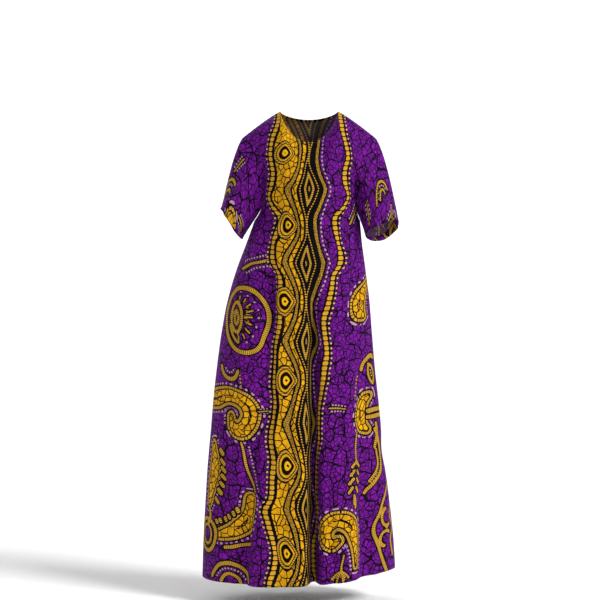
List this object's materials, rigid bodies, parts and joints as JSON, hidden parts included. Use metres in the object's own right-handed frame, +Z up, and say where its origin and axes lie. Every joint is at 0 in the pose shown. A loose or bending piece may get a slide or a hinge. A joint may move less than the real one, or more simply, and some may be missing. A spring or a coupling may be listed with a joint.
{
  "type": "kaftan dress",
  "caption": "Full-length loose A-line dress of printed cotton with a round neck and wide elbow-length drop sleeves, filled out as worn.",
  "frame": {"origin": "midway between the neck ends of the two shoulder seams, where the wearer's shoulders or a hanger hold the dress", "axes": "+Z up along the dress, -Y out of its front, +X towards the wearer's left"},
  "size_m": [0.5828, 0.3702, 1.3784],
  "materials": {
    "printed_cotton": "matt"
  },
  "bodies": {
    "root": {"front": "printed_cotton", "back": "printed_cotton", "sleeve_right": "printed_cotton", "sleeve_left": "printed_cotton"}
  },
  "joints": []
}
